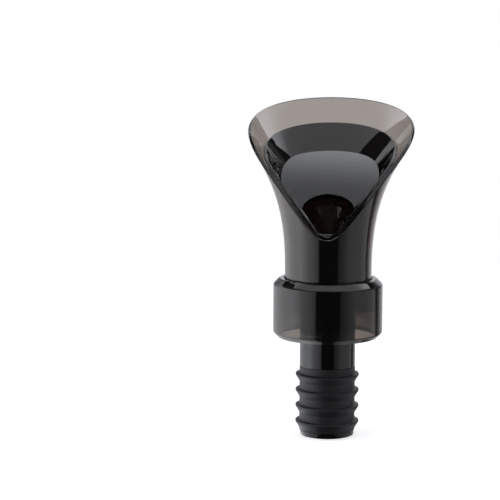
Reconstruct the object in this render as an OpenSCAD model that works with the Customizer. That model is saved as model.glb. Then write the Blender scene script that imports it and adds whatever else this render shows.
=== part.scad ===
// Pourer stopper: a ribbed plug, a collar with a deep open skirt, and two nested petals that
// turn against each other to open a half-moon valve.
// The plug's tip stands on z = 0 and its axis is Z. The low side of both petals faces -Y.

/* [Stem] */
// Outer diameter of the stem above the seal
stem_od = 17.5; // [16:0.1:19]
// Bore through the stem
stem_bore = 12.6; // [8:0.1:13]
// Length of the stem from its tip to the underside of the hub
stem_len = 40.8; // [34:0.1:60]
// Diameter of the seat that the seal sleeve is stretched over
seal_seat_od = 15.4; // [14.9:0.1:16.6]
// Outer diameter of the lip that keeps the seal on
tip_lip_od = 17; // [16:0.1:17.5]
// Height of that lip
tip_lip_h = 1.6; // [1:0.1:3]

/* [Seal sleeve] */
// Length of the sleeve along the stem
seal_len = 20.5; // [14:0.1:26]
// Diameter over the sealing ribs
seal_od = 20; // [19:0.1:23]
// Number of ribs
seal_ribs = 4; // [2:1:6]
// Thickness of a rib at its edge
rib_edge = 0.5; // [0.3:0.05:1]
// Rise of a rib's sloping underside
rib_slope_h = 2; // [1:0.1:2.5]
// Rise of a rib's short topside
rib_back_h = 0.3; // [0.1:0.05:0.6]
// Plain length of the sleeve below the first rib
rib_lead = 0.6; // [0.2:0.1:1]

/* [Collar] */
// Outer diameter of the collar
collar_od = 34.4; // [33:0.1:40]
// Height of the collar
collar_h = 18.6; // [14:0.1:24]
// Wall of its open skirt
collar_wall = 1.6; // [1.6:0.1:2.2]
// Thickness of its top plate
collar_plate = 1.8; // [1.2:0.1:3]
// Chamfer round the top edge
collar_top_chamfer = 1.9; // [0.5:0.1:2.4]
// Chamfer round the bottom edge
collar_foot_chamfer = 1.5; // [0.5:0.1:1.5]

/* [Hub and valve] */
// Floor of the hub, which holds the lower port
hub_floor = 1.2; // [1:0.1:2]
// Thickness of the silicone disc on the hub floor
gasket_t = 1.2; // [0.8:0.1:2]
// Thickness of the turning disc
rotor_t = 2.4; // [2.2:0.1:3]
// Floor of the turning disc, which holds the upper port
rotor_floor = 1.2; // [0.8:0.1:1.6]
// Bore of the turning disc above its floor
throat_bore = 18.8; // [16:0.1:19.2]
// Height of the spigot that is pressed into the inner petal
spigot_h = 2.8; // [2:0.1:5]
// Ledge between the stem's bore and the round side of the half-moon ports
port_ledge = 0.3; // [0:0.1:2]
// Half of the web that stays between two opposite ports
port_web = 0.8; // [0.5:0.1:2]
// Thickness of the O-ring round the turning disc
o_ring_t = 1.1; // [0.8:0.05:1.3]
// Angle that the petals turn from closed to open
turn_angle = 180; // [90:5:220]
// Width of the stop lug, as an angle
lug_angle = 24; // [10:1:40]
// Height of the stop lug
lug_h = 1.5; // [0.8:0.1:2.5]
// Depth of the neck in the socket under the collar's plate
neck_seat_depth = 2.5; // [2:0.1:5]

/* [Petals] */
// Outer diameter of the neck under the petals
neck_od = 27.2; // [26:0.1:30]
// Wall of both petals
petal_wall = 1.2; // [0.9:0.05:1.3]
// Height over which the flare opens, from the top of the collar
flare_h = 54; // [45:0.5:65]
// How far the flare reaches out past the neck at that height
flare_reach = 23.9; // [15:0.1:30]
// Power of the flare: 1 is a cone, more keeps the neck straight for longer
flare_power = 2.73; // [2:0.01:4]

/* [Outer petal rim] */
// Height of the rim at its low front, from the top of the collar
outer_front_h = 13.5; // [10:0.1:20]
// Height of the rim at its high back
outer_back_h = 53.4; // [45:0.1:58]
// Rounding of the point of the V: 0 is sharp
outer_round = 0.067; // [0.03:0.001:0.3]
// Power of the rise from front to back
outer_power = 1.36; // [0.8:0.01:2]
// Fullness of the shoulders between front and back
outer_fullness = 0.32; // [0:0.01:0.5]

/* [Inner petal rim] */
// Height of the rim at its low front, from the top of the collar
inner_front_h = 14.2; // [10:0.1:20]
// Height of the rim at its high back
inner_back_h = 45.7; // [40:0.1:50]
// Rounding of the point of the V: 0 is sharp
inner_round = 0.157; // [0.03:0.001:0.3]
// Power of the rise from front to back
inner_power = 0.9; // [0.8:0.01:2]
// Fullness of the shoulders between front and back
inner_fullness = 0; // [0:0.01:0.5]

/* [Pour plate] */
// Height at which the plate crosses the axis, as a share of the flare's height
plate_h_share = 0.47; // [0.4:0.002:0.52]
// Slope of the plate there, as a share of the flare's height over its reach
plate_slope_share = 0.356; // [0.3:0.002:0.4]
// Radius of the plate along its slope, which gets less steep towards the back
plate_crest_r = 113; // [80:1:300]
// Thickness of the plate
plate_t = 1.4; // [1:0.1:2]
// Radius of the hollow across the plate
plate_hollow_r = 61; // [45:1:120]
// Radius of the pour hole
hole_r = 8.1; // [5:0.1:8.5]
// How far down the slope from the axis the middle of the hole lies
hole_forward = 7; // [5:0.1:9]
// Strip of the plate that stays between the hole and the petal's wall
hole_strip = 0.6; // [0.5:0.1:2]

/* [Fits] */
// Gap between the two petals, and between the turning disc and the hub's wall
turn_gap = 0.2; // [0.1:0.05:0.35]
// Gap under the neck of the outer petal, above the turning disc
end_gap = 0.1; // [0.05:0.05:0.3]
// Gap between glued or pressed pieces
seat_gap = 0.05; // [0.02:0.01:0.15]
// Gap that shows round the neck where it enters the collar
neck_gap = 0.3; // [0.2:0.05:0.6]
// Chamfer along the petals' rims
rim_chamfer = 0.25; // [0.1:0.05:0.4]

/* [Hidden] */
$fn = 96;
// Small overlap that lets a cut run past a face
cut = 1;

smoke = [0.36, 0.33, 0.32, 0.55];
dark_smoke = [0.16, 0.15, 0.15, 0.9];
silicone = "#1c1c1e";

// Stem, hub and collar, from the tip up
bore_r = stem_bore / 2;
port_r = bore_r - port_ledge;
stem_r = stem_od / 2;
seat_r = seal_seat_od / 2;
seal_z = tip_lip_h;
collar_r = collar_od / 2;
collar_cavity_r = collar_r - collar_wall;
neck_r = neck_od / 2;
hub_r = collar_cavity_r - seat_gap;
socket_r = neck_r + seat_gap;
hub_floor_z = stem_len + hub_floor;
gasket_top_z = hub_floor_z + gasket_t;
rotor_top_z = gasket_top_z + rotor_t;
neck_foot_z = rotor_top_z + end_gap;
plate_z = neck_foot_z + neck_seat_depth;
collar_top_z = plate_z + collar_plate;
collar_foot_z = collar_top_z - collar_h;

// Turning disc
rotor_r = socket_r - turn_gap;
spigot_r = neck_r - 2 * petal_wall - turn_gap - seat_gap;
o_ring_major_r = socket_r - seat_gap - o_ring_t / 2;
o_ring_z = gasket_top_z + rotor_t / 2;
o_ring_groove_r = o_ring_major_r - o_ring_t / 2 - seat_gap;
o_ring_groove_h = o_ring_t + 2 * seat_gap;
gasket_r = socket_r - turn_gap;
lug_in_r = neck_r - petal_wall + turn_gap;
lug_out_r = rotor_r - turn_gap;
// Depth that the lug runs into the disc, so that both are one piece
lug_root = 0.3;
// Slack past the lug at each end of its notch, as an angle
notch_slack = 1;
notch_angle = turn_angle + lug_angle + 2 * notch_slack;

// The flare is a power curve: radius and slope of the outer petal's outside at height h over the collar
function flare_r(h) = neck_r + flare_reach * pow(max(h, 0) / flare_h, flare_power);
function flare_slope(h) = flare_reach * flare_power / flare_h * pow(max(h, 0) / flare_h, flare_power - 1);
// Every other wall is that curve moved inward by d along its normal
function wall_point(h, d) =
    let (a = atan(flare_slope(h)))
    [flare_r(h) - d * cos(a), collar_top_z + h + d * sin(a)];
inner_out_d = petal_wall + turn_gap;
inner_in_d = inner_out_d + petal_wall;
insert_d = inner_in_d + seat_gap;

// Heights at which the flare's profile has a point
flare_steps = 22;
flare_top_h = max(flare_h, outer_back_h, inner_back_h) + 2;
flare_heights = [for (i = [0:flare_steps]) flare_top_h * i / flare_steps];

// Closed profile of a petal: a straight neck from foot_z, then the flare, between depths d0 and d1
function petal_profile(foot_z, d0, d1) = concat(
    [[neck_r - d0, foot_z]],
    [for (h = flare_heights) wall_point(h, d0)],
    [for (i = [flare_steps:-1:0]) wall_point(flare_heights[i], d1)],
    [[neck_r - d1, foot_z]]);

// Rise of a rim from 0 at the front to 1 at the back, with a rounded V at the front
function rim_rise(az, round_v, power, fullness) =
    let (s = abs(sin(az / 2)))
    let (g = (sqrt(s * s + round_v * round_v) - round_v) / (sqrt(1 + round_v * round_v) - round_v))
    pow(g, power) + fullness * g * g * (1 - g);

// What lies above a rim: at each azimuth a section whose underside crosses the wall at a right
// angle, with a chamfer at both edges, and which then covers everything further up and out
rim_sections = 90;
rim_reach_out = 3;
rim_reach_in = 2;
rim_far_r = neck_r + 2 * flare_reach;
rim_far_z = collar_top_z + 2 * flare_top_h;
function rim_section(h, d0, d1) =
    let (a = atan(flare_slope(h)))
    let (p = wall_point(h, 0))
    let (at = function (u, t) [p[0] - u * cos(a) + t * sin(a), p[1] + u * sin(a) + t * cos(a)])
    let (low_out = at(d0 - rim_reach_out, -rim_reach_out - rim_chamfer))
    let (low_in = at(d1 + rim_reach_in, -rim_reach_in - rim_chamfer))
    [low_in, at(d1 - rim_chamfer, 0), at(d0 + rim_chamfer, 0), low_out,
     [rim_far_r, low_out[1]], [rim_far_r, rim_far_z], [low_in[0], rim_far_z]];

module above_rim(d0, d1, front_h, back_h, round_v, power, fullness) {
    sides = 7;
    points = [for (i = [0:rim_sections - 1])
        let (az = 360 * i / rim_sections)
        let (h = front_h + (back_h - front_h) * rim_rise(az, round_v, power, fullness))
        for (q = rim_section(h, d0, d1)) [q[0] * sin(az), -q[0] * cos(az), q[1]]];
    faces = [for (i = [0:rim_sections - 1], j = [0:sides - 1], k = [0, 1])
        let (i2 = (i + 1) % rim_sections, j2 = (j + 1) % sides)
        let (p = i * sides + j, q = i2 * sides + j, r = i2 * sides + j2, s = i * sides + j2)
        k == 0 ? [p, r, q] : [p, s, r]];
    polyhedron(points, faces, convexity = 6);
}

// Arc of the hollow across the pour plate, at depth d under its top and in the direction dir,
// as distance from the axis that the plate bends round and place across
hollow_steps = 12;
hollow_reach = asin(flare_reach / plate_hollow_r);
function hollow_arc(d, dir) = [
    for (i = [0:hollow_steps])
        let (t = dir * hollow_reach * (2 * i / hollow_steps - 1))
        [plate_crest_r + plate_hollow_r - (plate_hollow_r + d) * cos(t), (plate_hollow_r + d) * sin(t)]];
plate_h = plate_h_share * flare_h;
plate_slope = atan(plate_slope_share * flare_h / flare_reach);
// Length that runs past the petal at both ends of the hole
hole_reach = 2 * flare_reach;

// Half-moon port on the side that dir points to: 1 is the back, -1 is the front
module port(dir, z0, z1) {
    intersection() {
        translate([0, 0, z0 - cut]) cylinder(r = port_r, h = z1 - z0 + 2 * cut);
        translate([-port_r, dir > 0 ? port_web : -port_web - port_r, z0 - cut])
            cube([2 * port_r, port_r, z1 - z0 + 2 * cut]);
    }
}

module stem() {
    color(dark_smoke) difference() {
        rotate_extrude() polygon([
            [bore_r, 0],
            [tip_lip_od / 2, 0],
            [tip_lip_od / 2, tip_lip_h],
            [seat_r, tip_lip_h],
            [seat_r, seal_z + seal_len],
            [stem_r, seal_z + seal_len],
            [stem_r, stem_len],
            [hub_r, stem_len],
            [hub_r, plate_z],
            [socket_r, plate_z],
            [socket_r, hub_floor_z],
            [0, hub_floor_z],
            [0, stem_len],
            [bore_r, stem_len]]);
        port(1, stem_len, hub_floor_z);
    }
}

module seal_sleeve() {
    pitch = (seal_len - rib_lead) / seal_ribs;
    color(silicone) rotate_extrude() polygon(concat(
        [[seat_r, seal_z], [stem_r, seal_z]],
        [for (i = [0:seal_ribs - 1])
            let (foot = seal_z + rib_lead + i * pitch)
            let (edge = foot + rib_slope_h)
            for (p = [[stem_r, foot], [seal_od / 2, edge], [seal_od / 2, edge + rib_edge],
                      [stem_r, edge + rib_edge + rib_back_h]]) p],
        [[stem_r, seal_z + seal_len], [seat_r, seal_z + seal_len]]));
}

module collar() {
    color(smoke) rotate_extrude() polygon([
        [collar_cavity_r, collar_foot_z],
        [collar_r - collar_foot_chamfer, collar_foot_z],
        [collar_r, collar_foot_z + collar_foot_chamfer],
        [collar_r, collar_top_z - collar_top_chamfer],
        [collar_r - collar_top_chamfer, collar_top_z],
        [neck_r + neck_gap, collar_top_z],
        [neck_r + neck_gap, plate_z],
        [collar_cavity_r, plate_z]]);
}

module valve_gasket() {
    color(silicone) difference() {
        translate([0, 0, hub_floor_z]) cylinder(r = gasket_r, h = gasket_t);
        port(1, hub_floor_z, gasket_top_z);
    }
}

module valve_rotor() {
    throat_r = throat_bore / 2;
    color(dark_smoke) {
        difference() {
            union() {
                translate([0, 0, gasket_top_z]) cylinder(r = rotor_r, h = rotor_t);
                translate([0, 0, rotor_top_z]) cylinder(r = spigot_r, h = spigot_h);
            }
            translate([0, 0, gasket_top_z + rotor_floor]) cylinder(r = throat_r, h = rotor_t + spigot_h);
            rotate_extrude() translate([o_ring_groove_r, o_ring_z - o_ring_groove_h / 2])
                square([rotor_r + cut - o_ring_groove_r, o_ring_groove_h]);
            port(-1, gasket_top_z, gasket_top_z + rotor_floor);
        }
        // Stop lug
        rotate([0, 0, -lug_angle / 2]) rotate_extrude(angle = lug_angle)
            translate([lug_in_r, rotor_top_z - lug_root]) square([lug_out_r - lug_in_r, lug_h + lug_root]);
    }
}

module rotor_o_ring() {
    color(silicone) rotate_extrude() translate([o_ring_major_r, o_ring_z]) circle(d = o_ring_t, $fn = 32);
}

module outer_petal() {
    color(smoke) difference() {
        rotate_extrude() polygon(petal_profile(neck_foot_z, 0, petal_wall));
        above_rim(0, petal_wall, outer_front_h, outer_back_h, outer_round, outer_power, outer_fullness);
        // Notch that the stop lug travels in
        rotate([0, 0, -lug_angle / 2 - notch_slack]) rotate_extrude(angle = notch_angle)
            translate([neck_r - petal_wall - cut, neck_foot_z - cut])
                square([petal_wall + 2 * cut, lug_h + turn_gap + cut]);
    }
}

module inner_petal() {
    color(dark_smoke) difference() {
        rotate_extrude() polygon(petal_profile(rotor_top_z, inner_out_d, inner_in_d));
        above_rim(inner_out_d, inner_in_d, inner_front_h, inner_back_h, inner_round, inner_power,
                  inner_fullness);
    }
}

// Everything inside the flare's wall at depth d, up to the top of the flare
module inside_wall(d) {
    rotate_extrude() polygon(concat(
        [[0, collar_top_z], [neck_r - d, collar_top_z]],
        [for (h = flare_heights) wall_point(h, d)],
        [[0, wall_point(flare_top_h, d)[1]]]));
}

// Turns what stands on the XY plane so that it stands on the plate, over the point on the axis
module on_plate() {
    translate([0, 0, collar_top_z + plate_h]) rotate([plate_slope, 0, 0]) children();
}

module pour_plate() {
    color(dark_smoke) difference() {
        intersection() {
            inside_wall(insert_d);
            on_plate() translate([0, 0, -plate_crest_r]) rotate([0, 90, 0])
                rotate_extrude($fn = 360) polygon(concat(hollow_arc(0, 1), hollow_arc(plate_t, -1)));
        }
        intersection() {
            inside_wall(insert_d + hole_strip);
            on_plate() translate([0, -hole_forward, 0])
                cylinder(r = hole_r, h = hole_reach, center = true);
        }
    }
}

stem();
seal_sleeve();
collar();
valve_gasket();
valve_rotor();
rotor_o_ring();
outer_petal();
inner_petal();
pour_plate();
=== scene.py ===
"""Looks of the pourer stopper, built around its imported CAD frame.

Every piece is a surface worked out with numpy in the part's own frame, in millimetres: +Z runs up
the stem's axis, the stem's tip stands on z = 0, and the low side of both petals faces -Y.
An azimuth is an angle about +Z, 0 towards -Y and 90 degrees towards +X.
"""

import logging
import math
from collections.abc import Callable
from dataclasses import dataclass, field
from enum import Enum

import bpy
import numpy as np
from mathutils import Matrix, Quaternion, Vector


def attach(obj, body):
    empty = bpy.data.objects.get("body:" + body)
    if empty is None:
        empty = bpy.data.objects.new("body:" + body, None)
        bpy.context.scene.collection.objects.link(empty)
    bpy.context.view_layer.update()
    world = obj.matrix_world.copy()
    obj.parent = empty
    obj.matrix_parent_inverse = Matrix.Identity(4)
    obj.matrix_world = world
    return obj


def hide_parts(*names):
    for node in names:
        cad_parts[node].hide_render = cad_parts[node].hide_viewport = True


LOG = logging.getLogger("pourer_stopper")
MM = 0.001

# Heights that more than one piece uses: the hub's floor, its top and the collar's top
FLOOR_Z = 42.0
PLATE_Z = 48.2
COLLAR_Z = 50.0

# Steps of a rounding's curve, and the most of a side that one rounding takes
ROUND_STEPS = 5
ROUND_SHARE = 0.4
# How far past a rounding the next point stands, in mm and as a share of the side
LEAD_MM = 0.05
LEAD_SHARE = 0.06
# Keeps divisions away from zero
TINY = 1e-9

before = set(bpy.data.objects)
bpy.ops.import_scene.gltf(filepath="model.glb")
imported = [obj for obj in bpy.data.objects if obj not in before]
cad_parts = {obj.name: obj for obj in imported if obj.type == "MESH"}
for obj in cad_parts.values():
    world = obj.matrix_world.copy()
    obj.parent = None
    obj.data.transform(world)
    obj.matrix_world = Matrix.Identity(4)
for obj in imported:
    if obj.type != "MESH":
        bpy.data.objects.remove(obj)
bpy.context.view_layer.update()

Side = Callable[[np.ndarray], np.ndarray]


class Body(Enum):
    """The two bodies that turn against each other."""

    BASE = "base"
    ROTOR = "rotor"


class Slot(Enum):
    """Material slots that the petals are labelled with."""

    SMOKE = "smoke"
    DARK_SMOKE = "dark_smoke"
    SILICONE = "silicone"


# Surfaces


def smoothstep(x: np.ndarray) -> np.ndarray:
    """Smooth rise from 0 to 1 while x goes from 0 to 1: 3x^2 - 2x^3."""
    t = np.clip(x, 0.0, 1.0)
    return t * t * (3.0 - 2.0 * t)


def even_azimuths(columns: int) -> np.ndarray:
    """Azimuths of a full turn in equal steps, in radians."""
    return np.linspace(0.0, 2.0 * np.pi, columns, endpoint=False)


def unit(v: np.ndarray) -> np.ndarray:
    """Vectors along the last axis, brought to length 1."""
    return v / np.maximum(np.linalg.norm(v, axis=-1, keepdims=True), TINY)


def rounded(corners: np.ndarray, radius: float | np.ndarray,
            steps: int = ROUND_STEPS) -> np.ndarray:
    """Closed outlines whose corners are rounded.

    Corner C gives the curve (1-t)^2 A + 2t(1-t) C + t^2 B, where A and B lie on its two sides at
    the radius from C. One more point just past A and B keeps the shading of the flats even.

    Args:
        corners: (columns, corners, 3) or (1, corners, 3).
        radius: One radius, or one for each corner.
        steps: Steps in each curve.

    Returns:
        (columns, points, 3), in the corners' order.
    """
    before = np.roll(corners, 1, axis=1) - corners
    after = np.roll(corners, -1, axis=1) - corners
    span = np.minimum(np.linalg.norm(before, axis=-1), np.linalg.norm(after, axis=-1))
    reach = np.minimum(np.broadcast_to(radius, span.shape), ROUND_SHARE * span)[..., None]
    lead = np.minimum(LEAD_MM, LEAD_SHARE * span)[..., None]
    a = corners + unit(before) * reach
    b = corners + unit(after) * reach
    t = np.linspace(0.0, 1.0, steps + 1)[:, None]
    curve = ((1 - t) ** 2 * a[:, :, None] + 2 * t * (1 - t) * corners[:, :, None]
             + t**2 * b[:, :, None])
    first = (a + unit(before) * lead)[:, :, None]
    last = (b + unit(after) * lead)[:, :, None]
    full = np.concatenate([first, curve, last], axis=2)
    return full.reshape(full.shape[0], -1, 3)


def joined(sides: list[tuple[Side, int]], radii: tuple[float, ...], columns: int) -> np.ndarray:
    """Closed outlines from curved sides, with a rounded corner after each side.

    Each side is a function of t from 0 to 1. It is trimmed at both ends by the radius there, and
    the gap is closed with the curve (1-s)^2 A + 2s(1-s) C + s^2 B through the corner C.

    Args:
        sides: Each side's function, from (columns, n) values of t to (columns, n, 3), and its rows.
        radii: Radius of the corner at the end of each side.
        columns: Number of outlines.

    Returns:
        (columns, points, 3).
    """
    ends = np.repeat(np.array([[0.0, 1.0]]), columns, axis=0)
    lengths = [np.linalg.norm(np.diff(side(ends), axis=1)[:, 0], axis=-1) for side, _ in sides]
    count = len(sides)
    reach = [np.minimum(radii[i], ROUND_SHARE * np.minimum(lengths[i], lengths[(i + 1) % count]))
             for i in range(count)]
    s = np.linspace(0.0, 1.0, ROUND_STEPS + 1)[None, 1:-1, None]
    parts = []
    for i, (side, rows) in enumerate(sides):
        size = np.maximum(lengths[i], TINY)
        low = reach[i - 1] / size
        high = 1.0 - reach[i] / size
        t = low[:, None] + (high - low)[:, None] * np.linspace(0.0, 1.0, rows)
        here = side(t)
        after_side = sides[(i + 1) % count][0]
        after_low = (reach[i] / np.maximum(lengths[(i + 1) % count], TINY))[:, None]
        b = after_side(after_low)
        a = here[:, -1:]
        c = after_side(np.zeros((columns, 1)))
        parts += [here, (1 - s) ** 2 * a + 2 * s * (1 - s) * c + s**2 * b]
    return np.concatenate(parts, axis=1)


def carried(section: np.ndarray, azimuths: np.ndarray) -> np.ndarray:
    """Carries a section round the axis.

    A section point (r, z, shift) at azimuth p becomes (r sin p, shift - r cos p, z).

    Args:
        section: (columns or 1, rows, 3).
        azimuths: (columns,) or (columns, rows), in radians.

    Returns:
        (columns, rows, 3) points in millimetres.
    """
    p = azimuths[:, None] if azimuths.ndim == 1 else azimuths
    r, z, shift = section[..., 0], section[..., 1], section[..., 2]
    x = r * np.sin(p)
    y = shift - r * np.cos(p)
    return np.stack([x, y, np.broadcast_to(z, x.shape)], axis=-1)


def flat_section(points: list[tuple[float, float]]) -> np.ndarray:
    """Corners (r, z) of a section that is the same all round, as (1, corners, 3)."""
    rz = np.array(points, dtype=float)
    return np.concatenate([rz, np.zeros((len(rz), 1))], axis=1)[None]


def ring_solid(name: str, points: np.ndarray, material: bpy.types.Material,
               body: Body, nodes: tuple[str, ...]) -> bpy.types.Object:
    """Turns a grid that closes in both directions into a piece that rides on a body.

    Args:
        name: The piece's name.
        points: (columns, rows, 3) in millimetres.
        material: Its material.
        body: The body that it moves with.
        nodes: The CAD nodes that it stands for.

    Returns:
        The new object, at the origin, with faces that point outwards.
    """
    columns, rows = points.shape[:2]
    i = np.arange(columns)[:, None]
    j = np.arange(rows)[None, :]
    i2, j2 = (i + 1) % columns, (j + 1) % rows
    quads = np.stack(np.broadcast_arrays(i * rows + j, i2 * rows + j, i2 * rows + j2, i * rows + j2),
                     axis=-1).reshape(-1, 4)
    flat = points.reshape(-1, 3)
    a, b, c, d = (flat[quads[:, k]] for k in range(4))
    volume = np.einsum("ij,ij->i", a, np.cross(b, c) + np.cross(c, d)).sum()
    if volume < 0:
        quads = quads[:, ::-1]
    mesh = bpy.data.meshes.new(name)
    mesh.vertices.add(len(flat))
    mesh.vertices.foreach_set("co", (flat * MM).astype(np.float32).ravel())
    mesh.loops.add(quads.size)
    mesh.loops.foreach_set("vertex_index", quads.astype(np.int32).ravel())
    mesh.polygons.add(len(quads))
    mesh.polygons.foreach_set("loop_start", np.arange(0, quads.size, 4, dtype=np.int32))
    mesh.update(calc_edges=True)
    mesh.validate()
    mesh.shade_smooth()
    mesh.materials.append(material)
    piece = bpy.data.objects.new(name, mesh)
    bpy.context.scene.collection.objects.link(piece)
    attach(piece, body.value)
    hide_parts(*nodes)
    LOG.info("%s: %d faces, on %s", name, len(quads), body.value)
    return piece


# Materials


def srgb(code: str) -> tuple[float, float, float, float]:
    """Linear red, green and blue of an sRGB hex code, such as "#7A634E", and alpha 1."""
    values = [int(code[k:k + 2], 16) / 255 for k in (1, 3, 5)]
    return (*(v / 12.92 if v <= 0.04045 else ((v + 0.055) / 1.055) ** 2.4 for v in values), 1.0)


def add_node(tree: bpy.types.NodeTree, kind: str, settings: dict[str, object],
             values: dict[str, object]) -> bpy.types.Node:
    """Adds a node to a tree.

    Args:
        tree: The node tree.
        kind: The node's type.
        settings: Properties of the node itself.
        values: Numbers, colours or output sockets for its inputs, by name or index.

    Returns:
        The node.
    """
    node = tree.nodes.new(kind)
    for key, value in settings.items():
        setattr(node, key, value)
    for key, value in values.items():
        if isinstance(value, bpy.types.NodeSocket):
            tree.links.new(value, node.inputs[key])
        else:
            node.inputs[key].default_value = value
    return node


def new_tree(name: str) -> tuple[bpy.types.Material, bpy.types.NodeTree]:
    """An empty node material.

    Args:
        name: The material's name.

    Returns:
        The material and its tree, with no node in it.
    """
    material = bpy.data.materials.new(name)
    material.use_nodes = True
    material.node_tree.nodes.clear()
    return material, material.node_tree


@dataclass(frozen=True)
class MouldedSmokePlastic:
    """Smoke-tinted styrene-acrylonitrile, injection moulded in a polished steel tool.

    The tint is in the plastic, so each wall that the eye looks through makes it darker. The
    polished tool leaves sharp highlights, and shrinkage behind the walls makes them waver a little.
    """

    name: str
    tint: str  # Colour that the absorption lets through
    density: float  # Absorption per metre
    ior: float = 1.57
    # Roughness as moulded, and where handling has dulled it
    gloss: tuple[float, float] = (0.008, 0.03)
    # Noise values between which the gloss goes from the one to the other
    touched: tuple[float, float] = (0.35, 0.75)
    wave_mm: float = 16.0
    wave_height_mm: float = 0.006
    handling_mm: float = 5.0  # Width of the patches that hands leave

    def build(self) -> bpy.types.Material:
        """Makes the material.

        Returns:
            A clear dielectric with absorption inside, faint waves and patchy gloss.
        """
        material, tree = new_tree(self.name)
        place = add_node(tree, "ShaderNodeTexCoord", {}, {})
        wave = add_node(tree, "ShaderNodeTexNoise", {}, {
            "Vector": place.outputs["Object"], "Scale": 1 / (self.wave_mm * MM), "Detail": 1.0})
        bump = add_node(tree, "ShaderNodeBump", {}, {
            "Height": wave.outputs["Fac"], "Distance": self.wave_height_mm * MM, "Strength": 1.0})
        touch = add_node(tree, "ShaderNodeTexNoise", {}, {
            "Vector": place.outputs["Object"], "Scale": 1 / (self.handling_mm * MM), "Detail": 5.0})
        patch = add_node(tree, "ShaderNodeMapRange", {"interpolation_type": "SMOOTHSTEP"}, {
            "Value": touch.outputs["Fac"], "From Min": self.touched[0],
            "From Max": self.touched[1], "To Min": self.gloss[0], "To Max": self.gloss[1]})
        shader = add_node(tree, "ShaderNodeBsdfPrincipled", {}, {
            "Base Color": (1.0, 1.0, 1.0, 1.0), "Roughness": patch.outputs["Result"],
            "IOR": self.ior, "Transmission Weight": 1.0, "Normal": bump.outputs["Normal"]})
        inside = add_node(tree, "ShaderNodeVolumeAbsorption", {}, {
            "Color": srgb(self.tint), "Density": self.density})
        add_node(tree, "ShaderNodeOutputMaterial", {}, {
            "Surface": shader.outputs["BSDF"], "Volume": inside.outputs["Volume"]})
        return material


@dataclass(frozen=True)
class MouldedSilicone:
    """Black food-grade silicone, compression moulded.

    The tool's fine spark-eroded skin and the soft rubber give a satin black without sharp
    highlights, and handling leaves it a little unevenly dull.
    """

    name: str
    colour: str = "#1A1A1C"
    worn: str = "#242426"  # Where handling has dulled it
    ior: float = 1.41
    dullness: tuple[float, float] = (0.38, 0.58)  # Roughness as moulded, and where it is dull
    grain_mm: float = 0.5  # Width of a grain, drawn coarser than the real 0.05 mm to show
    grain_height_mm: float = 0.01
    grain_strength: float = 0.6  # How much of the grain's slope the shading takes
    patch_mm: float = 6.0

    def build(self) -> bpy.types.Material:
        """Makes the material.

        Returns:
            A dull dark dielectric with a fine grain and patchy dullness.
        """
        material, tree = new_tree(self.name)
        place = add_node(tree, "ShaderNodeTexCoord", {}, {})
        patch = add_node(tree, "ShaderNodeTexNoise", {}, {
            "Vector": place.outputs["Object"], "Scale": 1 / (self.patch_mm * MM), "Detail": 4.0})
        tone = add_node(tree, "ShaderNodeMix", {"data_type": "RGBA"}, {
            "Factor": patch.outputs["Fac"], 6: srgb(self.colour), 7: srgb(self.worn)})
        dull = add_node(tree, "ShaderNodeMapRange", {}, {
            "Value": patch.outputs["Fac"], "To Min": self.dullness[0],
            "To Max": self.dullness[1]})
        grain = add_node(tree, "ShaderNodeTexNoise", {}, {
            "Vector": place.outputs["Object"], "Scale": 1 / (self.grain_mm * MM), "Detail": 2.0})
        bump = add_node(tree, "ShaderNodeBump", {}, {
            "Height": grain.outputs["Fac"], "Distance": self.grain_height_mm * MM,
            "Strength": self.grain_strength})
        shader = add_node(tree, "ShaderNodeBsdfPrincipled", {}, {
            "Base Color": tone.outputs[2], "Roughness": dull.outputs["Result"],
            "IOR": self.ior, "Normal": bump.outputs["Normal"]})
        add_node(tree, "ShaderNodeOutputMaterial", {}, {"Surface": shader.outputs["BSDF"]})
        return material


SMOKE = MouldedSmokePlastic("smoke_san_moulded", "#886A46", 1060.0)
COLLAR_SMOKE = MouldedSmokePlastic("collar_smoke_san_moulded", "#886A46", 1330.0)
DARK_SMOKE = MouldedSmokePlastic("dark_smoke_san_moulded", "#7A634E", 4500.0)
SILICONE = MouldedSilicone("black_silicone_moulded")


# Stem, seal, collar and valve


@dataclass
class HalfMoonPort:
    """Half-moon hole through a valve disc: a circle cut off by a straight web."""

    radius: float = 6.0  # About the part's axis
    web: float = 0.8  # Distance from the axis to the straight edge
    towards: float = 1.0  # 1 for a hole on the back's side, -1 for one on the front's
    centre: float = 3.2  # Distance from the axis to the point that the outline is seen from

    def corners(self, azimuths: np.ndarray, z: float) -> np.ndarray:
        """The hole's outline, seen from a point inside it.

        Along direction e the outline is the nearer of the circle, at
        sqrt((c e_y)^2 + R^2 - c^2) - c e_y, and the web, at (c - web) / -e_y.

        Args:
            azimuths: (columns,) in radians.
            z: Height of the outline.

        Returns:
            (columns, 1, 3) section points.
        """
        along = -np.cos(azimuths) * self.towards
        circle = np.sqrt((self.centre * along) ** 2 + self.radius**2 - self.centre**2)
        circle = circle - self.centre * along
        web = np.where(along < -TINY, (self.centre - self.web) / np.maximum(-along, TINY), np.inf)
        r = np.minimum(circle, web)
        shift = np.full_like(r, self.centre * self.towards)
        return np.stack([r, np.full_like(r, z), shift], axis=-1)[:, None]

    def through(self, body: np.ndarray, azimuths: np.ndarray, top: float,
                bottom: float) -> np.ndarray:
        """A holed body's section: the hole's upper edge, the body's corners, its lower edge.

        Args:
            body: The body's corners, (columns or 1, corners, 3).
            azimuths: (columns,) in radians.
            top: Height of the hole's upper edge.
            bottom: Height of its lower edge.

        Returns:
            (columns, corners + 2, 3) section points.
        """
        full = np.broadcast_to(body, (len(azimuths), *body.shape[1:]))
        return np.concatenate([self.corners(azimuths, top), full, self.corners(azimuths, bottom)],
                              axis=1)


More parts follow.
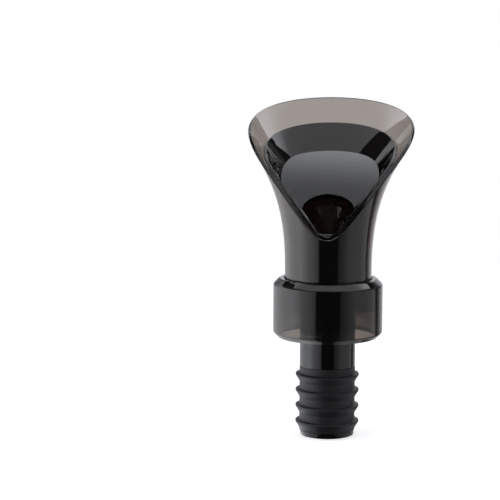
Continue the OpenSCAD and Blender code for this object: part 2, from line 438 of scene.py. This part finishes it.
@dataclass
class Plug:
    """Stem with its hub, and the ribbed silicone sleeve round it."""

    stem_r: float = 8.75
    bore_r: float = 6.3
    stem_len: float = 40.8  # Height of the hub's foot over the stem's tip
    seat_r: float = 7.7  # The waist that the sleeve sits on
    lip_r: float = 8.5  # The lip at the stem's tip, under the sleeve
    lip_h: float = 1.6
    seal_len: float = 20.5
    rib_r: float = 10.0
    ribs: int = 4
    rib_edge: float = 0.5  # Height of a rib's edge
    rib_slope_h: float = 2.0  # Height of the slope under the edge
    rib_back_h: float = 0.3  # Height of the slope over the edge
    rib_lead: float = 0.6  # Height of the plain sleeve under the lowest rib
    rib_round: float = 0.25  # Rounding of the sleeve's edges
    hub_r: float = 15.55
    socket_r: float = 13.65
    floor_z: float = FLOOR_Z  # The socket's floor
    plate_z: float = PLATE_Z  # The hub's top
    columns: int = 192
    port: HalfMoonPort = field(default_factory=HalfMoonPort)

    def build_stem(self) -> bpy.types.Object:
        """Makes the stem, whose section runs up the socket, round the hub and down the tube.

        Returns:
            The piece.
        """
        azimuths = even_azimuths(self.columns)
        top = self.lip_h + self.seal_len
        body = flat_section([
            (self.socket_r, self.floor_z), (self.socket_r, self.plate_z),
            (self.hub_r, self.plate_z), (self.hub_r, self.stem_len),
            (self.stem_r, self.stem_len), (self.stem_r, top), (self.seat_r, top),
            (self.seat_r, self.lip_h), (self.lip_r, self.lip_h), (self.lip_r, 0.0),
            (self.bore_r, 0.0), (self.bore_r, self.stem_len)])
        section = self.port.through(body, azimuths, self.floor_z, self.stem_len)
        # One rounding for each corner of the section, from the port's upper edge to its lower one
        radii = np.array([0.15, 0.3, 0.25, 0.3, 0.3, 0.5, 0.1, 0.1, 0.1, 0.3, 0.4, 0.4, 0.3, 0.15])
        return ring_solid("stem", carried(rounded(section, radii), azimuths), DARK_SMOKE.build(),
                          Body.BASE, ("stem",))

    def build_seal(self) -> bpy.types.Object:
        """Makes the sleeve: a plain tube with ribs that slope up and out to a rounded edge.

        Returns:
            The piece.
        """
        pitch = (self.seal_len - self.rib_lead) / self.ribs
        low, high = self.lip_h, self.lip_h + self.seal_len
        edge_top = self.rib_slope_h + self.rib_edge
        rib = [(self.stem_r, 0.0), (self.rib_r, self.rib_slope_h), (self.rib_r, edge_top),
               (self.stem_r, edge_top + self.rib_back_h)]
        ribs = [(r, low + self.rib_lead + k * pitch + h) for k in range(self.ribs) for r, h in rib]
        section = flat_section([(self.seat_r, low), (self.stem_r, low), *ribs,
                                (self.stem_r, high), (self.seat_r, high)])
        points = carried(rounded(section, self.rib_round), even_azimuths(self.columns))
        return ring_solid("seal_sleeve", points, SILICONE.build(), Body.BASE,
                          ("seal_sleeve",))


@dataclass
class Collar:
    """Clear collar with a deep open skirt, glued round the hub."""

    outer_r: float = 17.2
    wall: float = 1.6
    top_z: float = COLLAR_Z
    foot_z: float = 31.4
    plate_z: float = PLATE_Z  # The top plate's underside
    hole_r: float = 13.9  # Radius of the hole that the petals' necks go through
    top_chamfer: float = 1.9  # Its width and height
    foot_chamfer: float = 1.5  # Its width and height
    columns: int = 256

    def build(self) -> bpy.types.Object:
        """Makes the skirt and the top plate in one, with softly rounded edges.

        Returns:
            The piece.
        """
        inner = self.outer_r - self.wall
        section = flat_section([
            (inner, self.foot_z), (self.outer_r - self.foot_chamfer, self.foot_z),
            (self.outer_r, self.foot_z + self.foot_chamfer),
            (self.outer_r, self.top_z - self.top_chamfer),
            (self.outer_r - self.top_chamfer, self.top_z), (self.hole_r, self.top_z),
            (self.hole_r, self.plate_z), (inner, self.plate_z)])
        # One rounding for each corner of the section, in its order
        radii = np.array([0.05, 0.05, 0.5, 0.5, 0.5, 0.3, 0.2, 0.3])
        points = carried(rounded(section, radii), even_azimuths(self.columns))
        return ring_solid("collar", points, COLLAR_SMOKE.build(), Body.BASE, ("collar",))


@dataclass
class Valve:
    """Silicone disc, turning disc with its spigot and stop lug, and the O-ring round it."""

    floor_z: float = FLOOR_Z  # The silicone disc's underside
    gasket_top_z: float = 43.2  # Its top, which the turning disc stands on
    rotor_top_z: float = 45.6  # The turning disc's top, without its spigot
    rotor_floor: float = 1.2  # Thickness of the turning disc's floor
    spigot_h: float = 2.8
    spigot_r: float = 10.95
    throat_r: float = 9.4  # The pocket in disc and spigot
    disc_r: float = 13.45  # Both discs
    groove_r: float = 12.45  # Floor of the O-ring's groove
    groove_h: float = 1.2
    lug_in_r: float = 12.6
    lug_out_r: float = 13.25
    lug_h: float = 1.5
    lug_azimuth: float = 90.0  # Where the lug stands, in degrees
    lug_half: float = 12.0  # Half its width, in degrees
    lug_ramp: float = 2.0  # Width of its slopes, in degrees
    lug_sunk_h: float = 0.02  # Height of the lug's rows where there is no lug
    edge: float = 0.12  # Rounding of both discs' edges
    rotor_steps: int = 3  # Steps of those roundings on the turning disc
    ring_major: float = 13.05  # Radius of the O-ring's centre line
    ring_r: float = 0.55  # Radius of its cord
    ring_rows: int = 28  # Points round the cord
    columns: int = 192

    def build_gasket(self) -> bpy.types.Object:
        """Makes the flat silicone disc, with its half-moon port towards the back.

        Returns:
            The piece.
        """
        azimuths = even_azimuths(self.columns)
        rim = flat_section([(self.disc_r, self.gasket_top_z), (self.disc_r, self.floor_z)])
        section = HalfMoonPort().through(rim, azimuths, self.gasket_top_z, self.floor_z)
        return ring_solid("valve_gasket", carried(rounded(section, self.edge), azimuths),
                          SILICONE.build(), Body.BASE, ("valve_gasket",))

    def build_rotor(self) -> bpy.types.Object:
        """Makes the turning disc, with its pocket, spigot, groove, stop lug and port in front.

        Two rows of the section rise by the lug's height where the lug is.

        Returns:
            The piece.
        """
        azimuths = even_azimuths(self.columns)
        port = HalfMoonPort(towards=-1.0)
        mid = (self.gasket_top_z + self.rotor_top_z) / 2
        pocket_z = self.gasket_top_z + self.rotor_floor
        top = self.rotor_top_z + self.spigot_h
        away = np.abs(np.degrees(azimuths) - self.lug_azimuth)
        on_lug = smoothstep((self.lug_half + self.lug_ramp / 2 - away) / self.lug_ramp)
        rise = self.lug_sunk_h + (self.lug_h - self.lug_sunk_h) * on_lug
        rows = [(self.throat_r, pocket_z), (self.throat_r, top), (self.spigot_r, top),
                (self.spigot_r, self.rotor_top_z), (self.lug_in_r, self.rotor_top_z),
                (self.lug_in_r, self.rotor_top_z), (self.lug_out_r, self.rotor_top_z),
                (self.lug_out_r, self.rotor_top_z), (self.disc_r, self.rotor_top_z),
                (self.disc_r, mid + self.groove_h / 2), (self.groove_r, mid + self.groove_h / 2),
                (self.groove_r, mid - self.groove_h / 2), (self.disc_r, mid - self.groove_h / 2),
                (self.disc_r, self.gasket_top_z)]
        body = np.repeat(flat_section(rows), self.columns, axis=0)
        # These two rows lie over the lug
        body[:, 5:7, 1] += rise[:, None]
        section = port.through(body, azimuths, pocket_z, self.gasket_top_z)
        points = carried(rounded(section, self.edge, self.rotor_steps), azimuths)
        return ring_solid("valve_rotor", points, DARK_SMOKE.build(), Body.ROTOR,
                          ("valve_rotor",))

    def build_o_ring(self) -> bpy.types.Object:
        """Makes the O-ring: a circle of the cord's radius, carried round the groove.

        Returns:
            The piece.
        """
        turn = even_azimuths(self.ring_rows)
        z = (self.gasket_top_z + self.rotor_top_z) / 2
        section = np.stack([self.ring_major + self.ring_r * np.cos(turn),
                            z + self.ring_r * np.sin(turn), np.zeros_like(turn)], axis=-1)[None]
        return ring_solid("rotor_o_ring", carried(section, even_azimuths(self.columns)),
                          SILICONE.build(), Body.ROTOR, ("rotor_o_ring",))


# Petals and pour plate


@dataclass
class Flare:
    """The power curve that all petal walls follow.

    At height h over base_z, the collar's top, the outermost wall's radius is
    neck_r + reach (h / height)^power. Every other wall is that curve moved inward by a depth along
    its normal.
    """

    neck_r: float = 13.6
    reach: float = 23.9
    height: float = 54.0
    power: float = 2.73
    base_z: float = COLLAR_Z

    def slope(self, h: np.ndarray) -> np.ndarray:
        """How fast the radius grows with height: the curve's derivative."""
        share = np.maximum(h, 0.0) / self.height
        return self.reach * self.power / self.height * share ** (self.power - 1.0)

    def point(self, h: np.ndarray, depth: float | np.ndarray) -> np.ndarray:
        """The wall at height h and a depth through it.

        Args:
            h: Heights over the collar, any shape.
            depth: Depth from the outermost wall, inward along the normal.

        Returns:
            Section points (r, z, 0), shaped as h with a last axis of 3.
        """
        tilt = np.arctan(self.slope(h))
        radius = self.neck_r + self.reach * (np.maximum(h, 0.0) / self.height) ** self.power
        r = radius - depth * np.cos(tilt)
        z = self.base_z + h + depth * np.sin(tilt)
        return np.stack(np.broadcast_arrays(r, z, 0.0), axis=-1)


@dataclass
class Rim:
    """Height of a petal's rim round the axis.

    With s = |sin(azimuth / 2)| and the rounding q, a rounded V is
    g = (sqrt(s^2 + q^2) - q) / (sqrt(1 + q^2) - q), and the height is
    front_h + (back_h - front_h) (g^power + fullness g^2 (1 - g)).
    """

    front_h: float
    back_h: float
    rounding: float
    power: float
    fullness: float

    def height(self, azimuths: np.ndarray) -> np.ndarray:
        """The rim's height over the collar.

        Args:
            azimuths: Any shape, in radians.

        Returns:
            Millimetres, in the same shape.
        """
        s = np.abs(np.sin(azimuths / 2.0))
        q = self.rounding
        g = (np.sqrt(s * s + q * q) - q) / (math.sqrt(1.0 + q * q) - q)
        rise = g**self.power + self.fullness * g * g * (1.0 - g)
        return self.front_h + (self.back_h - self.front_h) * rise


@dataclass
class Petal:
    """One flared petal: a neck that opens into a trumpet, cut by its rim."""

    name: str
    rim: Rim
    depth_out: float  # Depth of the petal's outer face in the flare
    foot_h: float  # Height of the neck's foot over the collar, below it where negative
    body: Body
    slot: Slot
    notch_h: float = 0.0  # Height of the stop's notch in the foot, or 0 for none
    notch_half: float = 103.0  # Half the notch's width, in degrees to each side of the back
    notch_ramp: float = 2.0  # Width of the notch's slopes, in degrees
    wall: float = 1.2
    edge: float = 0.3  # Rounding of the rim's edges
    edge_lead: float = 0.08  # How far below that rounding the wall's last row lies
    foot_edge: float = 0.2  # Rounding of the foot's edges
    foot_steps: int = 3
    foot_lead: float = 0.25  # How far over the foot the wall's first row lies
    crowding: float = 0.6  # How much closer together the columns stand at the front, from 0 to 1
    row_power: float = 1.25  # How much closer together the rows lie at the rim, from 1 for even
    flare: Flare = field(default_factory=Flare)
    columns: int = 480
    rows: int = 46  # Rows up each face of the wall

    def inset(self, azimuths: np.ndarray, distance: np.ndarray) -> tuple[np.ndarray, np.ndarray]:
        """Points in the wall at a distance from the rim, square to it.

        The rim's direction in the wall is (r, s h'), with s the wall's length per height, so the
        way down into the wall is (s h', -r) brought to length 1.

        Args:
            azimuths: (columns,).
            distance: (rows,) in millimetres.

        Returns:
            Azimuths and heights, each (columns, rows).
        """
        step = 1e-4
        h = self.rim.height(azimuths)
        along = (self.rim.height(azimuths + step) - self.rim.height(azimuths - step)) / (2 * step)
        r = self.flare.point(h, 0.0)[:, 0]
        per_height = np.sqrt(1.0 + self.flare.slope(h) ** 2)
        size = np.hypot(along * per_height, r)
        turn = along * per_height / size / r
        drop = -r / size / per_height
        return (azimuths[:, None] + turn[:, None] * distance,
                h[:, None] + drop[:, None] * distance)

    def build(self, material: bpy.types.Material) -> bpy.types.Object:
        """Makes the petal: up the outside, over the rounded rim, down the inside, across the foot.

        The columns stand at turn - crowding sin(turn), and the wall's rows at
        1 - (1 - t)^row_power of the way up it.

        Args:
            material: Its finish.

        Returns:
            The piece.
        """
        turn = even_azimuths(self.columns)
        azimuths = turn - self.crowding * np.sin(turn)
        depth_in = self.depth_out + self.wall
        angle = np.linspace(0.0, np.pi / 2, ROUND_STEPS + 1)
        inward = self.edge * (1.0 - np.cos(angle))
        down = self.edge * (1.0 - np.sin(angle))
        rim_depth = np.concatenate([self.depth_out + inward, depth_in - inward[::-1]])
        rim_az, rim_h = self.inset(azimuths, np.concatenate([down, down[::-1]]))
        low_az, low_h = self.inset(azimuths, np.array([self.edge + self.edge_lead]))
        away = np.abs(np.degrees(azimuths) - 180.0)
        in_notch = smoothstep((self.notch_half + self.notch_ramp / 2 - away) / self.notch_ramp)
        foot = self.foot_h + self.notch_h * in_notch
        share = 1.0 - (1.0 - np.linspace(0.0, 1.0, self.rows)) ** self.row_power
        start = (foot + self.foot_lead)[:, None]
        wall_h = start + (low_h - start) * share
        wall_az = azimuths[:, None] + (low_az - azimuths[:, None]) * share
        foot_angle = np.linspace(0.0, np.pi / 2, self.foot_steps + 1)[:-1]
        foot_in = self.foot_edge * (1.0 - np.sin(foot_angle))
        foot_up = self.foot_edge * (1.0 - np.cos(foot_angle))
        foot_depth = np.concatenate([(depth_in - foot_in)[::-1], self.depth_out + foot_in])
        foot_h = foot[:, None] + np.concatenate([foot_up[::-1], foot_up])
        foot_az = np.repeat(azimuths[:, None], foot_h.shape[1], axis=1)
        section = np.concatenate([
            self.flare.point(wall_h, self.depth_out), self.flare.point(rim_h, rim_depth),
            self.flare.point(wall_h[:, ::-1], depth_in), self.flare.point(foot_h, foot_depth)],
            axis=1)
        all_az = np.concatenate([wall_az, rim_az, wall_az[:, ::-1], foot_az], axis=1)
        return ring_solid(self.name, carried(section, all_az), material, self.body,
                          (self.name,))


@dataclass
class PourPlate:
    """Saddle-shaped plate that closes the inner petal but for a round hole.

    Its own axes are x across, v up the slope and w square to it, from where it crosses the part's
    axis. Across it is hollow: its arc stands w0 = H - sqrt((H + under)^2 - x^2) high, where under
    is 0 on top and the thickness below. Along the slope it bends over a crest of radius C:
    w = sqrt((C + w0)^2 - v^2) - C. Points are found by a bearing about the hole's middle and a
    distance from it.
    """

    lean: float = 0.356  # The slope, as a share of the flare's height over its reach
    axis_z: float = 75.38  # Height at which the plate crosses the part's axis
    thickness: float = 1.4
    hollow_r: float = 61.0  # H, the hollow across the plate
    crest_r: float = 113.0  # C, the crest along the slope
    hole_r: float = 8.1
    hole_v: float = -7.0  # Where the hole's middle lies along the slope
    strip: float = 0.6  # Least width between the hole and the petal
    # Depth of the plate's edge in the flare, a glue line inside the inner petal
    wall_depth: float = 2.65
    # Heights over the collar between which the edge is looked for
    wall_h: tuple[float, float] = (-5.0, 56.0)
    wall_rows: int = 1200  # How many heights are tried
    farthest: float = 36.0  # Past the wall on every bearing
    halvings: int = 32
    edge_rows: int = 6
    top_rows: int = 30
    under_rows: int = 24
    # Roundings of the hole's upper edge, of the two outer edges and of its lower edge
    rounds: tuple[float, ...] = (0.4, 0.15, 0.15, 0.25)
    flare: Flare = field(default_factory=Flare)
    columns: int = 480

    @property
    def slope(self) -> float:
        """The slope's angle in radians."""
        return math.atan(self.lean * self.flare.height / self.flare.reach)

    def at(self, distance: np.ndarray, under: float) -> np.ndarray:
        """Points of the top or the underside.

        Args:
            distance: Distances from the hole's middle, (columns, n).
            under: 0 for the top, or the thickness for the underside.

        Returns:
            (columns, n, 3) in millimetres.
        """
        bearing = even_azimuths(self.columns)[:, None]
        x = distance * np.sin(bearing)
        v = self.hole_v - distance * np.cos(bearing)
        across = self.hollow_r - np.sqrt((self.hollow_r + under) ** 2 - x * x)
        w = np.sqrt((self.crest_r + across) ** 2 - v * v) - self.crest_r
        return np.stack([x, v * math.cos(self.slope) - w * math.sin(self.slope),
                         self.axis_z + v * math.sin(self.slope) + w * math.cos(self.slope)], axis=-1)

    def reach(self, under: float, depth: float) -> np.ndarray:
        """Distances at which a face meets the flare's wall at a depth, by halving.

        Args:
            under: 0 for the top, or the thickness for the underside.
            depth: Depth of the wall.

        Returns:
            (columns, 1) in millimetres.
        """
        table = self.flare.point(np.linspace(*self.wall_h, self.wall_rows), depth)
        low, high = np.zeros((self.columns, 1)), np.full((self.columns, 1), self.farthest)
        for _ in range(self.halvings):
            middle = (low + high) / 2
            p = self.at(middle, under)
            within = np.hypot(p[..., 0], p[..., 1]) < np.interp(p[..., 2], table[:, 1], table[:, 0])
            low, high = np.where(within, middle, low), np.where(within, high, middle)
        return (low + high) / 2

    def build(self) -> bpy.types.Object:
        """Makes the plate: up the hole, out over the top, down the petal's wall, back underneath.

        Returns:
            The piece.
        """
        under = self.thickness
        top_out, low_out = self.reach(0.0, self.wall_depth), self.reach(under, self.wall_depth)
        top_in = np.minimum(self.hole_r, self.reach(0.0, self.wall_depth + self.strip))
        low_in = np.minimum(self.hole_r, self.reach(under, self.wall_depth + self.strip))

        def between(a: np.ndarray, b: np.ndarray) -> Side:
            """A straight side from points a to points b."""
            return lambda t: a + (b - a) * t[..., None]

        def face(a: np.ndarray, b: np.ndarray, depth: float) -> Side:
            """A side along the top or the underside, from distances a to distances b."""
            return lambda t: self.at(a + (b - a) * t, depth)

        section = joined(
            [(between(self.at(low_in, under), self.at(top_in, 0.0)), self.edge_rows),
             (face(top_in, top_out, 0.0), self.top_rows),
             (between(self.at(top_out, 0.0), self.at(low_out, under)), self.edge_rows),
             (face(low_out, low_in, under), self.under_rows)], self.rounds, self.columns)
        return ring_solid("pour_plate", section, DARK_SMOKE.build(), Body.ROTOR,
                          ("pour_plate",))


# Studio


@dataclass(frozen=True)
class SoftBox:
    """A rectangular lamp that faces the part.

    Its power is pi x area x radiance, which makes its face as bright as the radiance says.
    """

    name: str
    place: tuple[float, float, float]  # Its middle, in metres
    size: tuple[float, float]  # Its width and height in metres
    radiance: float
    aim_z: float = 0.06  # Height on the part's axis that it faces, in metres

    def build(self) -> None:
        """Hangs the lamp. Gloss shows the studio's levels in its place."""
        data = bpy.data.lights.new(self.name, "AREA")
        data.shape = "RECTANGLE"
        data.size, data.size_y = self.size
        data.energy = math.pi * self.size[0] * self.size[1] * self.radiance
        lamp = bpy.data.objects.new(self.name, data)
        bpy.context.scene.collection.objects.link(lamp)
        lamp.location = self.place
        lamp.visible_glossy = False
        towards = Vector((0.0, 0.0, self.aim_z)) - Vector(self.place)
        lamp.rotation_mode = "QUATERNION"
        lamp.rotation_quaternion = towards.to_track_quat("-Z", "Y")


@dataclass
class Studio:
    """White floor and background, soft boxes, a panel overhead and the camera.

    What gloss and see-through walls show of the studio depends on the azimuth about the part,
    0 towards the camera: a dim wedge round the camera, a bright left, a dimmer right, a dark gap
    past it, and white behind. Above the side lamps, a dim gap runs round the studio to the panel.
    """

    floor_half: float = 30.0  # Half the floor's width, in metres like every length here
    floor_z: float = -0.0002  # Height of the floor, a hair under the part
    # Distances from the part between which the floor turns from paper to plain white
    fade: tuple[float, float] = (0.12, 0.45)
    lift: float = 0.62  # Light that the camera sees added to the paper
    paper: str = "#C8C8C8"
    white: str = "#FFFFFF"
    cool: str = "#F3F5FA"  # What gloss and see-through walls show
    top_level: float = 2.2  # Level that white on a colour ramp stands for
    # Azimuths in degrees, and what gloss shows there in place of the floor
    low_levels: tuple[tuple[float, float], ...] = (
        (-180, 1.0), (-173, 1.0), (-165, 0.6), (-136, 1.1), (-100, 1.75), (-74, 2.1), (-49, 1.13),
        (-29, 0.7), (-23, 0.5), (-21, 0.05), (27, 0.05), (29, 0.2), (38, 0.28), (62, 0.62),
        (88, 0.58), (104, 0.64), (113, 0.8), (117, 0.45), (120, 0.08), (124, 0.05), (128, 0.2),
        (134, 0.4), (141, 0.7), (151, 0.9), (166, 1.0), (180, 1.0))
    # The same for the background
    high_levels: tuple[tuple[float, float], ...] = (
        (-180, 1.0), (-172, 1.0), (-168, 0.35), (-150, 0.35), (-136, 1.0), (-100, 1.75),
        (-74, 2.1), (-49, 1.13), (-23, 0.5), (-21, 0.05), (27, 0.05), (29, 0.2), (62, 0.62),
        (88, 0.56), (126, 0.2), (145, 0.2), (158, 1.0), (180, 1.0))
    gap: tuple[float, float] = (0.49, 0.8)  # Sine of the elevation at the gap's two edges
    gap_level: float = 0.06
    panel_z: float = 1.0
    panel_x: tuple[float, float] = (-0.78, 1.15)  # Left and right edge
    panel_y: tuple[float, float] = (-0.8, 0.8)  # Front and back edge
    panel_levels: tuple[float, float] = (1.05, 2.4)  # At its front and at its back
    # Y between which the level goes from the one to the other
    panel_rise: tuple[float, float] = (0.12, 0.55)
    lamps: tuple[SoftBox, ...] = (
        SoftBox("left_box", (-0.68, -0.377, 0.35), (1.26, 1.3), 1.1),
        SoftBox("right_box", (0.735, -0.35, 0.35), (1.16, 1.3), 0.45))
    distance: float = 0.6426  # From the part's axis to the camera
    turn: float = math.radians(2.69)  # How far round to the right the camera stands, in radians
    camera_z: float = 0.1483
    aim_z: float = 0.058  # Height on the axis that the camera looks at
    roll: float = math.radians(0.587)  # How far the camera leans, in radians
    sensor: float = 36.0  # Its width in millimetres
    lens: float = 149.2  # Focal length in millimetres
    shift: tuple[float, float] = (-0.157, 0.0043)  # Shift of its picture across and up, in widths

    def build_floor(self) -> None:
        """The floor: diffuse where the shadow falls, fading into plain white further out."""
        h = self.floor_half
        mesh = bpy.data.meshes.new("floor")
        mesh.from_pydata([(-h, -h, self.floor_z), (h, -h, self.floor_z), (h, h, self.floor_z),
                          (-h, h, self.floor_z)], [], [(0, 1, 2, 3)])
        material, tree = new_tree("floor_white_paper")
        place = add_node(tree, "ShaderNodeTexCoord", {}, {})
        length = add_node(tree, "ShaderNodeVectorMath", {"operation": "LENGTH"},
                          {0: place.outputs["Object"]})
        far = add_node(tree, "ShaderNodeMapRange", {"interpolation_type": "SMOOTHSTEP"}, {
            "Value": length.outputs["Value"], "From Min": self.fade[0], "From Max": self.fade[1],
            "To Min": 0.0, "To Max": 1.0})
        path = add_node(tree, "ShaderNodeLightPath", {}, {})
        lift = add_node(tree, "ShaderNodeMath", {"operation": "MULTIPLY"},
                        {0: path.outputs["Is Camera Ray"], 1: self.lift})
        paper = add_node(tree, "ShaderNodeBsdfDiffuse", {}, {"Color": srgb(self.paper)})
        near = add_node(tree, "ShaderNodeEmission", {}, {"Strength": lift.outputs[0]})
        both = add_node(tree, "ShaderNodeAddShader", {}, {0: paper.outputs[0], 1: near.outputs[0]})
        plain = add_node(tree, "ShaderNodeEmission", {}, {"Strength": path.outputs["Is Camera Ray"]})
        seen = add_node(tree, "ShaderNodeMixShader", {}, {
            0: far.outputs["Result"], 1: both.outputs[0], 2: plain.outputs[0]})
        level = self.level(tree, place.outputs["Object"], self.low_levels)
        shown = add_node(tree, "ShaderNodeEmission", {}, {"Color": srgb(self.cool), "Strength": level})
        indirect = add_node(tree, "ShaderNodeMath", {"operation": "MAXIMUM"}, {
            0: path.outputs["Is Glossy Ray"], 1: path.outputs["Is Transmission Ray"]})
        final = add_node(tree, "ShaderNodeMixShader", {}, {
            0: indirect.outputs[0], 1: seen.outputs[0], 2: shown.outputs[0]})
        add_node(tree, "ShaderNodeOutputMaterial", {}, {"Surface": final.outputs[0]})
        self.stand(mesh, material)

    def stand(self, mesh: bpy.types.Mesh, material: bpy.types.Material) -> bpy.types.Object:
        """Adds a mesh to the studio.

        Args:
            mesh: The mesh, in metres.
            material: Its material.

        Returns:
            The new object.
        """
        mesh.materials.append(material)
        thing = bpy.data.objects.new(mesh.name, mesh)
        bpy.context.scene.collection.objects.link(thing)
        return thing

    def level(self, tree: bpy.types.NodeTree, place: bpy.types.NodeSocket,
              levels: tuple[tuple[float, float], ...]) -> bpy.types.NodeSocket:
        """Adds the nodes that look up the studio's level at an azimuth.

        Args:
            tree: The tree that the nodes go in.
            place: Vector from the part into the studio.
            levels: Azimuths in degrees and their levels, joined by straight lines.

        Returns:
            The socket that holds the level.
        """
        split = add_node(tree, "ShaderNodeSeparateXYZ", {}, {0: place})
        front = add_node(tree, "ShaderNodeMath", {"operation": "MULTIPLY"},
                         {0: split.outputs["Y"], 1: -1.0})
        azimuth = add_node(tree, "ShaderNodeMath", {"operation": "ARCTAN2"},
                           {0: split.outputs["X"], 1: front.outputs[0]})
        share = add_node(tree, "ShaderNodeMapRange", {}, {
            "Value": azimuth.outputs[0], "From Min": -math.pi, "From Max": math.pi})
        ramp = add_node(tree, "ShaderNodeValToRGB", {}, {0: share.outputs["Result"]})
        elements = ramp.color_ramp.elements
        elements.remove(elements[1])
        elements[0].position = 0.0
        for k, (degrees, level) in enumerate(levels):
            element = elements[0] if k == 0 else elements.new((degrees + 180) / 360)
            element.color = (*[level / self.top_level] * 3, 1.0)
        return add_node(tree, "ShaderNodeMath", {"operation": "MULTIPLY"},
                        {0: ramp.outputs["Color"], 1: self.top_level}).outputs[0]

    def build_world(self) -> None:
        """The background: white to the camera, and the studio's levels to everything else."""
        world = bpy.data.worlds.new("studio_world")
        bpy.context.scene.world = world
        world.use_nodes = True
        tree = world.node_tree
        tree.nodes.clear()
        place = add_node(tree, "ShaderNodeTexCoord", {}, {})
        path = add_node(tree, "ShaderNodeLightPath", {}, {})
        split = add_node(tree, "ShaderNodeSeparateXYZ", {}, {0: place.outputs["Generated"]})
        middle, half = (self.gap[0] + self.gap[1]) / 2, (self.gap[1] - self.gap[0]) / 2
        in_gap = add_node(tree, "ShaderNodeMath", {"operation": "COMPARE"},
                          {0: split.outputs["Z"], 1: middle, 2: half})
        round_part = add_node(tree, "ShaderNodeMix", {"data_type": "FLOAT"}, {
            0: in_gap.outputs[0], 3: self.gap_level,
            2: self.level(tree, place.outputs["Generated"], self.high_levels)})
        level = add_node(tree, "ShaderNodeMix", {"data_type": "FLOAT"}, {
            0: path.outputs["Is Camera Ray"], 2: round_part.outputs[0], 3: 1.0})
        tone = add_node(tree, "ShaderNodeMix", {"data_type": "RGBA"}, {
            0: path.outputs["Is Camera Ray"], 6: srgb(self.cool), 7: srgb(self.white)})
        light = add_node(tree, "ShaderNodeBackground", {}, {
            "Color": tone.outputs[2], "Strength": level.outputs[0]})
        add_node(tree, "ShaderNodeOutputWorld", {}, {"Surface": light.outputs[0]})

    def build_panel(self) -> None:
        """The panel overhead, which gets brighter towards the back and is hidden from the camera."""
        (left, right), (front, back) = self.panel_x, self.panel_y
        z = self.panel_z
        mesh = bpy.data.meshes.new("overhead_panel")
        mesh.from_pydata([(left, front, z), (left, back, z), (right, back, z), (right, front, z)],
                         [], [(0, 1, 2, 3)])
        material, tree = new_tree("panel_light")
        place = add_node(tree, "ShaderNodeTexCoord", {}, {})
        split = add_node(tree, "ShaderNodeSeparateXYZ", {}, {0: place.outputs["Object"]})
        level = add_node(tree, "ShaderNodeMapRange", {"interpolation_type": "SMOOTHSTEP"}, {
            "Value": split.outputs["Y"], "From Min": self.panel_rise[0],
            "From Max": self.panel_rise[1], "To Min": self.panel_levels[0],
            "To Max": self.panel_levels[1]})
        light = add_node(tree, "ShaderNodeEmission", {}, {
            "Color": srgb(self.cool), "Strength": level.outputs["Result"]})
        add_node(tree, "ShaderNodeOutputMaterial", {}, {"Surface": light.outputs[0]})
        self.stand(mesh, material).visible_camera = False

    def build_camera(self) -> None:
        """The camera, aimed at the part's axis, a little above the collar."""
        data = bpy.data.cameras.new("camera")
        data.sensor_width, data.lens = self.sensor, self.lens
        data.shift_x, data.shift_y = self.shift
        camera = bpy.data.objects.new("camera", data)
        bpy.context.scene.collection.objects.link(camera)
        bpy.context.scene.camera = camera
        camera.location = (self.distance * math.sin(self.turn),
                           -self.distance * math.cos(self.turn), self.camera_z)
        look = (Vector((0.0, 0.0, self.aim_z)) - camera.location).to_track_quat("-Z", "Y")
        camera.rotation_mode = "QUATERNION"
        camera.rotation_quaternion = look @ Quaternion((0.0, 0.0, 1.0), self.roll)

    def build(self) -> None:
        """Floor, world, panel, lamps, camera and colour settings."""
        self.build_floor()
        self.build_world()
        self.build_panel()
        for lamp in self.lamps:
            lamp.build()
        self.build_camera()
        bpy.context.scene.view_settings.view_transform = "Standard"


def main() -> None:
    """Builds the stopper from the plug up, then the studio."""
    plug = Plug()
    plug.build_stem()
    plug.build_seal()
    Collar().build()
    valve = Valve()
    valve.build_gasket()
    valve.build_rotor()
    valve.build_o_ring()
    outer_rim = Rim(front_h=13.5, back_h=53.4, rounding=0.067, power=1.36, fullness=0.32)
    inner_rim = Rim(front_h=14.2, back_h=45.1, rounding=0.157, power=0.9, fullness=0.0)
    Petal("outer_petal", outer_rim, depth_out=0.0, foot_h=-4.3, body=Body.BASE, slot=Slot.SMOKE,
          notch_h=1.7).build(SMOKE.build())
    Petal("inner_petal", inner_rim, depth_out=1.4, foot_h=-4.4, body=Body.ROTOR,
          slot=Slot.DARK_SMOKE).build(DARK_SMOKE.build())
    PourPlate().build()
    Studio().build()


if __name__ == "__main__":
    logging.basicConfig(level=logging.INFO, format="%(name)s: %(message)s")
    main()
